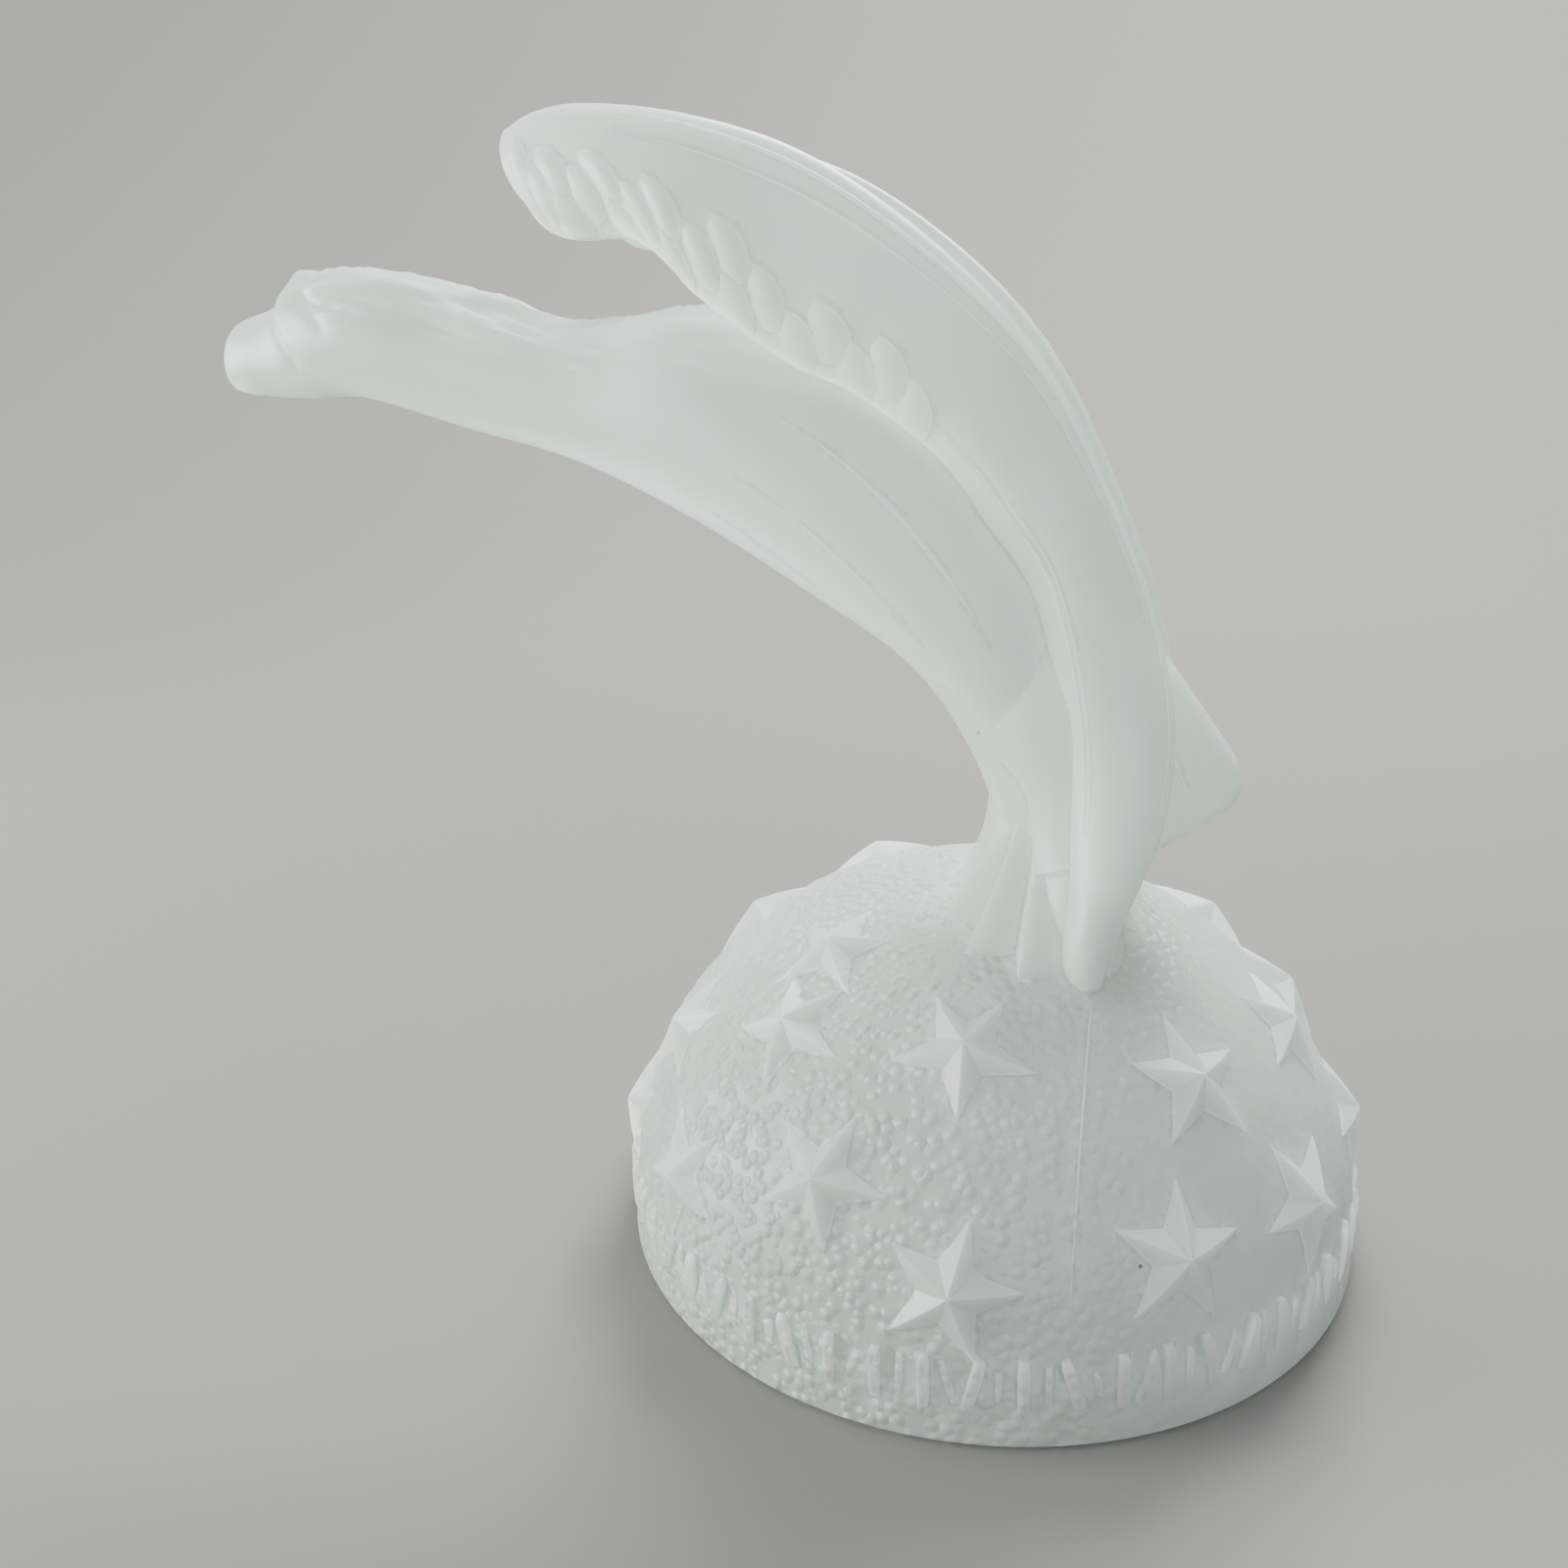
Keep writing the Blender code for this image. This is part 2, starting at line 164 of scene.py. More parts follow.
# The base is that profile turned round Z, pushed along its normals by lumps on the dome and chips on
# the wall, each a depth times noise times where it shows
def makeBase():
    radius, level = domeProfile(np.linspace(base["topShare"], 1, base["domeRows"]))
    wallLevel = np.linspace(base["wallHeight"], base["chamfer"], base["wallRows"])[1:]
    wallRadius = baseRadius - base["draft"] * (wallLevel - base["chamfer"]) / base["wallHeight"]
    radius = np.concatenate([radius, wallRadius, [baseRadius - base["chamfer"]]])[:, None]
    level = np.concatenate([level, wallLevel, [0.0]])[:, None]
    turn = np.linspace(0, 2 * math.pi, base["around"], endpoint=False)[None]
    rings = np.stack(np.broadcast_arrays(radius * np.sin(turn), -radius * np.cos(turn), level), -1)
    wide = np.hypot(rings[..., 0], rings[..., 1]) / baseRadius
    height = rings[..., 2]
    overWall = fadeIn(height, base["wallHeight"], base["wallHeight"] + base["edgeFade"])
    onDome = fadeIn(wide, *base["topFade"]) * overWall
    onWall = fadeIn(height, *base["chipStart"]) * (1 - fadeIn(height, *base["chipEnd"]))
    rough = 1 - base["smoothShare"] * fadeIn(rings[..., 0], *base["smoothFade"])
    lumps = wavyNoise(rings, base["lumpSize"], base["lumpSeed"])
    chips = wavyNoise(rings * (1, 1, base["chipStretch"]), base["chipSize"], base["chipSeed"])
    chips = np.minimum(chips, base["chipTop"])
    amount = base["lumpDepth"] * lumps * onDome * rough + base["chipDepth"] * chips * onWall
    skin("base", rings + ringNormals(rings) * amount[..., None])


# Length along the dome's profile from its top, at even shares of the way down
profileShares = np.linspace(0, 1, 400)
profileRadius, profileLevel = domeProfile(profileShares)
profileRun = np.concatenate([[0], np.cumsum(np.hypot(np.diff(profileRadius), np.diff(profileLevel)))])


# Points laid over the dome: x round it and y down it, as lengths from a place on the profile, and a
# height along the surface's normal. Below the dome's edge they go on down the wall.
def overDome(azimuth, share, x, y, height):
    run = np.interp(share, profileShares, profileRun) + y
    radius = np.interp(run, profileRun, profileRadius)
    level = np.interp(run, profileRun, profileLevel) - np.maximum(run - profileRun[-1], 0)
    ahead, behind = np.minimum(run + 0.0004, profileRun[-1]), run - 0.0004
    fall = np.interp(behind, profileRun, profileLevel) - np.interp(ahead, profileRun, profileLevel)
    widen = np.interp(ahead, profileRun, profileRadius) - np.interp(behind, profileRun, profileRadius)
    size = np.maximum(np.hypot(fall, widen), 1e-9)
    reach, level = radius + height * fall / size, level + height * widen / size
    turn = math.radians(azimuth) + x / np.interp(share, profileShares, profileRadius)
    return np.stack([reach * np.sin(turn), -reach * np.cos(turn), level], -1)


# Points moved by a 4 by 4 matrix
def moved(points, matrix):
    return points @ matrix[:3, :3].T + matrix[:3, 3]


# Stars: azimuth from -Y towards +X, share of the way down the dome, and turn
stars = dict(
    radius=0.0067, rise=0.0018, rim=0.00010, sink=0.0010, waist=0.43, points=5, steps=5, rows=9, first=0.03,
    places=(
        (-72, 0.85, 20), (-45, 0.81, 40), (3, 0.82, 57), (35, 0.78, 60), (61, 0.80, 20), (92, 0.83, 10),
        (128, 0.80, 50), (161, 0.81, 15), (-166, 0.79, 65), (-134, 0.80, 30), (-103, 0.80, 0),
        (-18, 0.67, 54), (-68, 0.61, 25), (-37, 0.45, 46), (3, 0.41, 35), (48, 0.51, 61), (83, 0.55, 29),
        (-100, 0.45, 10), (118, 0.43, 40), (108, 0.61, 15), (140, 0.57, 5), (176, 0.50, 33),
        (-140, 0.55, 60), (-45, 0.29, 20), (-133, 0.30, 50),
    ),
)


# A star: rings are shares s of a ten-cornered outline, and its height over the dome is
# rim + rise (1 - s). One more ring below closes it inside the dome.
def makeStar(number, azimuth, share, spin):
    corners = 2 * stars["points"]
    turn = math.pi / 2 + math.radians(spin) + np.arange(corners + 1) * 2 * math.pi / corners
    reach = stars["radius"] * np.where(np.arange(corners + 1) % 2, stars["waist"], 1)
    corner = np.stack([reach * np.cos(turn), reach * np.sin(turn)], -1)
    t = (np.arange(stars["steps"]) / stars["steps"])[None, :, None]
    outline = (corner[:-1, None] * (1 - t) + corner[1:, None] * t).reshape(-1, 2)
    shares = np.concatenate([np.linspace(stars["first"], 1, stars["rows"]), [1.0]])[:, None]
    height = stars["rim"] + stars["rise"] * (1 - shares) + 0 * outline[:, 0]
    height[-1] = -stars["sink"]
    x, y = shares * outline[:, 0], -shares * outline[:, 1]
    skin("star%02d" % number, overDome(azimuth, share, x, y, height))


# Bars round the wall: upright or slanted strokes that spell nothing
bars = dict(count=56, foot=0.0036, height=0.0056, width=0.0012, depth=0.0026, rise=0.0005,
            slants=(0, 14, 0, -16, 0, 0, -12, 18, 0, 16), softness=0.45, around=12, rows=9, reach=0.47,
            thinShare=0.6, thinRise=0.00022, thinHeights=(0.9, 0.6, 0.8, 0.5, 1.0, 0.7, 0.85))


# A bar: a box with soft corners, each of its sines and cosines raised to the power softness. Half a
# step further on stands a thinner, lower stroke.
def makeBar(number, thin):
    size = bars["thinShare"] if thin else 1.0
    tall = bars["height"] * (bars["thinHeights"][number % len(bars["thinHeights"])] if thin else 1.0)
    rise = bars["thinRise"] if thin else bars["rise"]
    turn = np.linspace(0, 2 * math.pi, bars["around"], endpoint=False)[None]
    climb = np.linspace(-bars["reach"], bars["reach"], bars["rows"] - 2 * thin)[:, None] * math.pi
    wide = signedPower(np.cos(climb), bars["softness"]) / 2
    x = size * bars["width"] * wide * signedPower(np.cos(turn), bars["softness"])
    y = bars["depth"] * wide * signedPower(np.sin(turn), bars["softness"])
    z = tall / 2 * signedPower(np.sin(climb), bars["softness"]) + 0 * turn
    out = baseRadius - base["draft"] / 2 + rise - bars["depth"] / 2
    slant = bars["slants"][(number + 3 * thin) % len(bars["slants"])]
    place = (Matrix.Rotation(2 * math.pi * (number + 0.5 * thin) / bars["count"], 4, "Z")
             @ Matrix.Translation((0, -out, bars["foot"] + bars["height"] / 2))
             @ Matrix.Rotation(math.radians(slant), 4, "Y"))
    skin("bar", moved(np.stack([x, y, z], -1), np.array(place)))


# Rib: a low ridge along a line. Its section has seven corners: a sharp crest over two rims at the
# given depth in the glass. Its width and height fade as sin(pi t)^fade towards both ends.
def makeRib(name, centres, normals, width, height, fade=0.5, depth=0.0004):
    along = unit(np.gradient(centres, axis=0))
    side = unit(np.cross(normals, along))
    grow = (np.sin(math.pi * np.linspace(0.01, 0.99, len(centres))) ** fade)[:, None]
    across = np.array([-1, -0.5, 0, 0.5, 1, 0.6, -0.6])
    lift = np.array([0, 0.4, 1, 0.4, 0, 0, 0])
    below = np.array([1, 0, 0, 0, 1, 1.6, 1.6]) * depth
    x = across * width / 2 * grow
    y = lift * height * grow - below * (0.3 + 0.7 * grow)
    skin(name, centres[:, None] + side[:, None] * x[..., None] + normals[:, None] * y[..., None])


# Beak, head, neck and trunk: belly x and z, back x and z, half width, from the beak to the foot
body = dict(
    stations=(
        (-1.116, 0.708, -1.115, 0.726, 0.010), (-1.096, 0.679, -1.088, 0.772, 0.036),
        (-1.016, 0.669, -1.016, 0.796, 0.056), (-0.970, 0.667, -0.972, 0.833, 0.073),
        (-0.880, 0.665, -0.880, 0.841, 0.089), (-0.723, 0.620, -0.712, 0.806, 0.092),
        (-0.565, 0.576, -0.539, 0.759, 0.105), (-0.408, 0.503, -0.350, 0.772, 0.136),
        (-0.241, 0.403, -0.094, 0.672, 0.156), (-0.105, 0.309, 0.073, 0.492, 0.146),
        (-0.026, 0.199, 0.141, 0.314, 0.117), (0.010, 0.094, 0.162, 0.126, 0.094),
        (-0.012, 0.020, 0.186, 0.020, 0.118),
    ),
    squareness=0.9, rows=176, around=84,
    streakDepth=0.00024, streakLength=0.0075, streakWidth=0.0016, streakSlope=0.25, streakSize=2.2,
    flakeDepth=0.00016, flakeSize=1.2, flakeLevel=0.7, streakSeed=11, flakeSeed=12,
    upperFade=(0.50, 0.74), headFade=(2.8, 3.6), neckFade=(6.8, 8.4),      # where the streaks come and go
    cere=((-0.998, 0.784), (-0.979, 0.744), (-0.958, 0.719)), cereDepth=0.00034, cereWidth=0.0007,
    brow=((-0.938, 0.806), (-0.902, 0.765)), browDepth=0.00036, browWidth=0.0007,
    nub=((-0.970, 0.838), (-0.968, 0.838)), nubHeight=0.0007, nubWidth=0.0009, nubFade=(0.85, 0.98),
    crease=((-0.050, 0.300), (-0.001, 0.239), (0.028, 0.212), (0.067, 0.161), (0.081, 0.108)),
    creaseDepth=0.00035, creaseWidth=0.0006,
)


# An oval at each place along the body: x and z run from belly to back as (1 - cos a) / 2, and y is
# the half width times sin(a)^squareness
def bodyPoint(at, angle):
    bellyX, bellyZ, backX, backZ, width = np.moveaxis(smoothAt(body["stations"], at), -1, 0)
    up = (1 - np.cos(angle)) / 2
    across = signedPower(np.sin(angle), body["squareness"])
    return figurePoint(bellyX + (backX - bellyX) * up, width * across, bellyZ + (backZ - bellyZ) * up)


# Distance in the side view from points to a line of segments given in shares of the figure's height
def sideDistance(points, line):
    x, z = points[..., 0], points[..., 2]
    line = np.array(line) * figureHeight + (0, base["domeHeight"])
    nearest = np.full(x.shape, 1.0)
    for (startX, startZ), (endX, endZ) in zip(line[:-1], line[1:]):
        runX, runZ = endX - startX, endZ - startZ
        t = np.clip(((x - startX) * runX + (z - startZ) * runZ) / (runX ** 2 + runZ ** 2), 0, 1)
        nearest = np.minimum(nearest, np.hypot(x - startX - t * runX, z - startZ - t * runZ))
    return nearest


# A soft groove or ridge along such a line: height exp(-(d / width)^2)
def sideRelief(points, line, height, width):
    return height * np.exp(-(sideDistance(points, line) / width) ** 2)


# The body: ovals pushed along their normals by streaks and flakes x where they show, less the grooves
# of cere, brow and crease, plus the nub. A last ring goes down into the dome.
def makeBody():
    last = len(body["stations"]) - 1
    at = np.linspace(0, last, body["rows"])[:, None]
    angle = np.linspace(0, 2 * math.pi, body["around"], endpoint=False)[None]
    rings = bodyPoint(at + 0 * angle, angle + 0 * at)
    up = (1 - np.cos(angle)) / 2
    # head and neck feathers: long streaks over the upper half, fading out along the neck
    x, y, z = np.moveaxis(rings, -1, 0)
    streakAt = np.stack([x / body["streakLength"], y / body["streakWidth"],
                         (z + body["streakSlope"] * x) / body["streakWidth"]], -1)
    upper = fadeIn(up, *body["upperFade"]) * fadeIn(at, *body["headFade"])
    upper = upper * (1 - fadeIn(at, *body["neckFade"]))
    streaks = wavyNoise(streakAt, body["streakSize"], body["streakSeed"])
    flakes = np.abs(wavyNoise(streakAt, body["flakeSize"], body["flakeSeed"])) - body["flakeLevel"]
    amount = (body["streakDepth"] * streaks - body["flakeDepth"] * flakes) * upper
    amount -= sideRelief(rings, body["cere"], body["cereDepth"], body["cereWidth"])
    amount -= sideRelief(rings, body["brow"], body["browDepth"], body["browWidth"])
    nub = sideRelief(rings, body["nub"], body["nubHeight"], body["nubWidth"])
    amount += nub * fadeIn(up, *body["nubFade"])
    amount -= sideRelief(rings, body["crease"], body["creaseDepth"], body["creaseWidth"])
    rings = rings + ringNormals(rings) * amount[..., None]
    root = rings[-1:].copy()
    root[..., 2] = base["domeHeight"] - rootDepth
    skin("body", np.concatenate([rings, root]))


# Flank feathers: ribs on both sides of the trunk, each from one place and angle to another
flank = dict(
    lines=((7.55, 4.36, 9.35, 4.70), (7.35, 4.95, 9.00, 5.30), (7.2, 5.45, 8.7, 5.75)),
    width=0.0009, height=0.00016, fade=1.4, steps=70,
)


# Each rib's place and angle go evenly from start to end. Its normals are the product of the skin's two
# directions, a small step on, turned away from the body's middle.
def makeFlank():
    for startAt, startAngle, endAt, endAngle in flank["lines"]:
        t = np.linspace(0, 1, flank["steps"])
        at = startAt + (endAt - startAt) * t
        for side in (1, -1):
            angle = side * (startAngle + (endAngle - startAngle) * t)
            centres = bodyPoint(at, angle)
            step = 0.001
            ahead, aside = bodyPoint(at + step, angle) - centres, bodyPoint(at, angle + step) - centres
            normals = unit(np.cross(ahead, aside))
            away = centres - (bodyPoint(at, angle + math.pi) + centres) / 2
            normals *= np.sign((normals * away).sum(-1, keepdims=True))
            makeRib("flank", centres, normals, flank["width"], flank["height"], flank["fade"])


# Wings: outer edge x, z and side, inner edge x, z and side, from the wrist to the tip
wing = dict(
    stations=(
        (-0.590, 0.985, 0.105, -0.572, 0.905, 0.118), (-0.545, 1.001, 0.112, -0.515, 0.856, 0.130),
        (-0.474, 1.004, 0.122, -0.410, 0.845, 0.142), (-0.348, 0.983, 0.134, -0.324, 0.770, 0.150),
        (-0.215, 0.938, 0.136, -0.234, 0.703, 0.136), (-0.096, 0.863, 0.131, -0.147, 0.660, 0.126),
        (0.012, 0.767, 0.116, -0.052, 0.587, 0.120), (0.091, 0.659, 0.084, 0.009, 0.504, 0.114),
        (0.158, 0.520, 0.066, 0.061, 0.428, 0.110), (0.211, 0.388, 0.062, 0.096, 0.310, 0.110),
        (0.244, 0.248, 0.080, 0.118, 0.182, 0.120), (0.235, 0.124, 0.125, 0.125, 0.060, 0.152),
        (0.196, 0.020, 0.168, 0.120, -0.016, 0.180),
    ),
    tip=(0.150, 0.164, 0.104, 0.184),
    thickness=0.0048, camber=0.0012, bluntness=0.75, wrist=0.45, wristLength=2.34,
    endRound=0.06, endStart=0.1, headingStep=0.4, rows=210, crowding=1.1, around=52,
)


# Rows of the wing, with the tip's two corners sunk into the dome below them
def wingRows():
    outerX, outerSide, innerX, innerSide = wing["tip"]
    height = figureHeight
    outerZ = (domeLevel(outerX * height, outerSide * height) - rootDepth - base["domeHeight"]) / height
    innerZ = (domeLevel(innerX * height, innerSide * height) - rootDepth - base["domeHeight"]) / height
    return np.array(wing["stations"] + ((outerX, outerZ, outerSide, innerX, innerZ, innerSide),))


wingStations = wingRows()
wingLast = len(wingStations) - 1


# Outer and inner edge of the wing at a place along it
def wingEdges(at):
    outerX, outerZ, outerSide, innerX, innerZ, innerSide = np.moveaxis(smoothAt(wingStations, at), -1, 0)
    return figurePoint(outerX, outerSide, outerZ), figurePoint(innerX, innerSide, innerZ)


# Inner edge, chord to the outer edge, outward normal and thickness at a place along the wing. The
# thickness grows evenly from the wrist's share, and its front end is a quarter of an oval.
def wingFrame(at):
    at = np.clip(at, 0, wingLast)
    outer, inner = wingEdges(at)
    step = wing["headingStep"]
    along = wingEdges(at + step)[0] - wingEdges(at - step)[0]
    normal = unit(np.cross(outer - inner, along))
    normal *= np.sign(normal[..., 1:2])
    thick = wing["wrist"] + (1 - wing["wrist"]) * np.minimum(at / wing["wristLength"], 1)
    thick = thick * np.sqrt(1 - (1 - np.minimum(at / wing["endRound"] + wing["endStart"], 1)) ** 2)
    return inner, outer - inner, normal, wing["thickness"] * thick


# Outer face of a wing at a share c across, with bluntness b:
# inner edge + chord c + normal (half thickness (1 - |1 - 2c|^(2/b))^(b/2) + camber sin(pi c) + lift)
def wingPoint(at, across, lift=0.0):
    inner, chord, normal, thick = wingFrame(at)
    blunt = wing["bluntness"]
    face = (1 - np.abs(1 - 2 * across) ** (2 / blunt)) ** (blunt / 2)
    bow = thick / 2 * face + wing["camber"] * np.sin(math.pi * across) + lift
    return inner + chord * across[..., None] + normal * bow[..., None], normal


# A wing: round the section, c = (1 - cos(a)^b) / 2 and the swell is half thickness sin(a)^b
def makeWing(side):
    at = (np.linspace(0, 1, wing["rows"]) ** wing["crowding"] * wingLast)[:, None]
    angle = 2 * math.pi * (np.arange(wing["around"]) + 0.5) / wing["around"]
    inner, chord, normal, thick = wingFrame(at)
    across = (1 - signedPower(np.cos(angle), wing["bluntness"])) / 2
    swell = thick / 2 * signedPower(np.sin(angle), wing["bluntness"])
    bow = swell + wing["camber"] * np.sin(math.pi * across)
    rings = inner + chord * across[..., None] + normal * bow[..., None]
    skin("wing", rings * (1, side, 1))


# Wing feathers: rows of scallops at the inner edge, each a place along the wing and a share across
feathers = dict(
    rows=3, counts=(8, 7, 5), start=0.45, pace=0.72, stagger=0.38,
    firstRow=0.12, rowPace=0.17, narrowing=0.06, lean=0.18,
    length=0.0062, width=0.0050, thickness=0.0006, broadening=0.18, around=36, rings=7,
    rimShare=0.45, domePower=4, rootSink=0.0014, rootRun=0.75, depth=0.0012,
    firstRing=0.05, lastRing=0.9, limits=(0.003, 0.97), paceStep=0.25,
)


# A feather: an egg-shaped scale laid on the wing's face, thin at its root and lifted at its round end.
# Its outline is cos and sin of an angle, broad end first, turned by the lean. Its top is a low dome,
# thickness (rim + (1 - rim)(1 - s^4)), less the root's sink.
def makeFeather(side, row, number):
    at = feathers["start"] + feathers["pace"] * number + feathers["stagger"] * (row % 2)
    across = feathers["firstRow"] + feathers["rowPace"] * row * (1 - feathers["narrowing"] * number)
    inner, chord, normal, thick = wingFrame(at + feathers["paceStep"] * np.array([-1, 1]))
    paceLength = np.linalg.norm(inner[1] - inner[0]) / (2 * feathers["paceStep"])
    chordLength = np.linalg.norm(chord, axis=1).mean()
    turn = np.linspace(0, 2 * math.pi, feathers["around"], endpoint=False)[None]
    shares = np.linspace(feathers["firstRing"], feathers["lastRing"], feathers["rings"] - 2)
    s = np.concatenate([shares, [1.0, 1.0]])[:, None]
    along = s * np.cos(turn) * feathers["length"] / 2
    wide = s * np.sin(turn) * feathers["width"] / 2 * (1 + feathers["broadening"] * np.cos(turn))
    toEnd = (1 + along / feathers["length"] * 2) / 2          # 0 at the root, 1 at the round end
    swell = feathers["rimShare"] + (1 - feathers["rimShare"]) * (1 - s ** feathers["domePower"])
    sunk = feathers["rootSink"] * (1 - fadeIn(toEnd, 0.0, feathers["rootRun"]))
    top = feathers["thickness"] * swell - sunk
    top[-1] = -feathers["depth"]
    place = at + (along - feathers["lean"] * wide) / paceLength
    share = across + (wide + feathers["lean"] * along) / chordLength
    centres, normals = wingPoint(place, np.clip(share, *feathers["limits"]), top)
    skin("feather", centres * (1, side, 1))


# Long thin vanes and the moulded arris, as ribs on the wing's outer face:
# start and end along the wing, start and end shares across, width and height
vanes = dict(
    steps=110, fade=0.9,
    lines=(
        (0.35, 12.6, 0.935, 0.90, 0.0008, 0.00022),
        (2.0, 9.0, 0.800, 0.84, 0.0006, 0.00012),
        (5.6, 10.6, 0.16, 0.12, 0.0006, 0.00014),
        (7.0, 10.6, 0.21, 0.16, 0.0006, 0.00010),
    ),
)


# Each vane's place and share go evenly from start to end, on the near wing or its mirror image
def makeVanes(side):
    for start, end, startShare, endShare, width, height in vanes["lines"]:
        t = np.linspace(0, 1, vanes["steps"])
        centres, normals = wingPoint(start + (end - start) * t, startShare + (endShare - startShare) * t)
        makeRib("vane", centres * (1, side, 1), normals * (1, side, 1), width, height, vanes["fade"])


# Tail: an upright blade between the wings, its outline in shares of the figure's height
tail = dict(
    outline=((0.090, 0.400), (0.228, 0.326), (0.334, 0.176),
             (0.334, 0.130), (0.230, 0.052), (0.080, 0.070)),
    thickness=0.0070, softness=0.0013, around=120, rows=16, edge=7.0, middle=0.97, crowding=2.2,
    lines=(((0.150, 0.330), (0.225, 0.235), (0.262, 0.160)),
           ((0.130, 0.270), (0.190, 0.190), (0.225, 0.120))),
    lineHeight=0.00014, lineWidth=0.0006, lineSteps=50,
)


# Corners are rounded by averaging an evenly stepped outline with a bell curve, exp(-(d / softness)^2 / 2).
# The blade's half thickness falls off as (1 - s^edge)^(1/2) from the middle, s = 0, to the rim, s = 1.
def makeTail():
    corners = np.array(tail["outline"] + tail["outline"][:1]) * figureHeight + (0, base["domeHeight"])
    run = np.concatenate([[0], np.cumsum(np.linalg.norm(np.diff(corners, axis=0), axis=1))])
    place = np.linspace(0, run[-1], tail["around"], endpoint=False)
    outline = np.stack([np.interp(place, run, corners[:, k]) for k in range(2)], -1)
    gap = np.abs(place[:, None] - place[None])
    bell = np.exp(-(np.minimum(gap, run[-1] - gap) / tail["softness"]) ** 2 / 2)
    outline = bell @ outline / bell.sum(1, keepdims=True)
    middle = outline.mean(0)
    s = 1 - np.linspace(tail["middle"], 0, tail["rows"]) ** tail["crowding"]
    half = tail["thickness"] / 2 * np.sqrt(1 - s ** tail["edge"])
    s, half = np.concatenate([s, s[-2::-1]]), np.concatenate([half, -half[-2::-1]])
    flat = middle + (outline - middle) * s[:, None, None]
    skin("tail", np.stack([flat[..., 0], np.broadcast_to(half[:, None], flat.shape[:2]), flat[..., 1]], -1))
    for number, line in enumerate(tail["lines"]):
        spots = smoothAt(line, np.linspace(0, len(line) - 1, tail["lineSteps"]))
        for side in (-1, 1):
            centres = figurePoint(spots[:, 0], side * (tail["thickness"] / 2 / figureHeight), spots[:, 1])
            normals = np.tile((0.0, side, 0.0), (len(centres), 1))
            makeRib("tailVane%d" % number, centres, normals, tail["lineWidth"], tail["lineHeight"])


# Thighs: x, z, side and radius from the top down, ending in a spur between the wing and the foot
thigh = dict(
    stations=((0.055, 0.364, 0.046, 0.075), (0.085, 0.271, 0.066, 0.080), (0.121, 0.184, 0.086, 0.054),
              (0.129, 0.098, 0.100, 0.047), (0.129, 0.030, 0.130, 0.043), (0.130, -0.060, 0.160, 0.056)),
    flatness=0.7, slant=0.45, rows=64, around=32, stepLevel=0.072, stepHeight=0.0007, stepRun=0.008,
)


# A thigh: rings of radius r, flattened across and leaning forwards by slant times their reach. Above
# the step's level it swells by the step's height.
def makeThigh(side):
    last = len(thigh["stations"]) - 1
    row = smoothAt(thigh["stations"], np.linspace(0, last, thigh["rows"]))
    x, z, y, radius = np.moveaxis(row, -1, 0)[..., None]
    aboveStep = fadeIn(z, thigh["stepLevel"], thigh["stepLevel"] + thigh["stepRun"])
    swell = thigh["stepHeight"] / figureHeight * aboveStep
    angle = np.linspace(0, 2 * math.pi, thigh["around"], endpoint=False)[None]
    reach = (radius + swell) * np.cos(angle)
    across = y + (thigh["flatness"] * radius + swell) * np.sin(angle)
    skin("thigh", figurePoint(x + reach, side * across, z + thigh["slant"] * reach))


# Foot: a skirt in pleats that spread into toes. Angles are the ridges' headings from straight ahead.
foot = dict(
    centre=0.083, top=0.170, neck=0.078, reach=0.178, spread=0.058, flare=2.4,
    depth=0.20, valley=0.86, sag=1.3,
    toes=(0, 46, 67, 87, 118, 150, 180), between=18, rows=44,
)


# The skirt's radius grows from the neck to each ridge's reach as drop^flare. From one ridge to the
# next a pleat sinks by depth (t / valley)^sag and climbs back steeply. One side mirrors the other.
def makeFoot():
    toes = np.array(foot["toes"], float)
    t = np.arange(foot["between"]) / foot["between"]
    turn = (toes[:-1, None] * (1 - t) + toes[1:, None] * t).ravel()
    sink = np.where(t < foot["valley"], (t / foot["valley"]) ** foot["sag"], (1 - t) / (1 - foot["valley"]))
    flute = np.tile(1 - foot["depth"] * sink, len(toes) - 1)
    turn = np.radians(np.concatenate([turn, [180.0], -turn[:0:-1]]))
    flute = np.concatenate([flute, [1.0], flute[:0:-1]])
    drop = np.linspace(0, 1, foot["rows"])[:, None]
    reach = (foot["reach"] - foot["spread"] * np.cos(2 * turn)) * flute
    radius = foot["neck"] + (reach - foot["neck"]) * drop ** foot["flare"]
    x, y = foot["centre"] - radius * np.cos(turn), radius * np.sin(turn)
    ground = (domeLevel(x * figureHeight, y * figureHeight) - base["domeHeight"]) / figureHeight
    rings = figurePoint(x, y, foot["top"] + (ground - foot["top"]) * drop)
    root = rings[-1:] - (0, 0, rootDepth)
    skin("foot", np.concatenate([rings, root]))


# Mould seam: a faint rib down each side of the dome, in the plane of the wing tips
seam = dict(x=0.0124, top=0.0172, low=0.0362, width=0.0005, height=0.00012, steps=60)


# The seam's points lie on the dome at even steps of y, and their normals come from the dome's slopes
def makeSeam():
    y = np.linspace(seam["top"], seam["low"], seam["steps"])
    level = domeLevel(seam["x"], y)
    step = 0.0001
    slopeX = (domeLevel(seam["x"] + step, y) - level) / step
    slopeY = (domeLevel(seam["x"], y + step) - level) / step
    for side in (-1, 1):
        centres = np.stack([np.full_like(y, seam["x"]), side * y, level], -1)
        normals = unit(np.stack([-slopeX, -side * slopeY, np.ones_like(y)], -1))
        makeRib("seam", centres, normals, seam["width"], seam["height"])


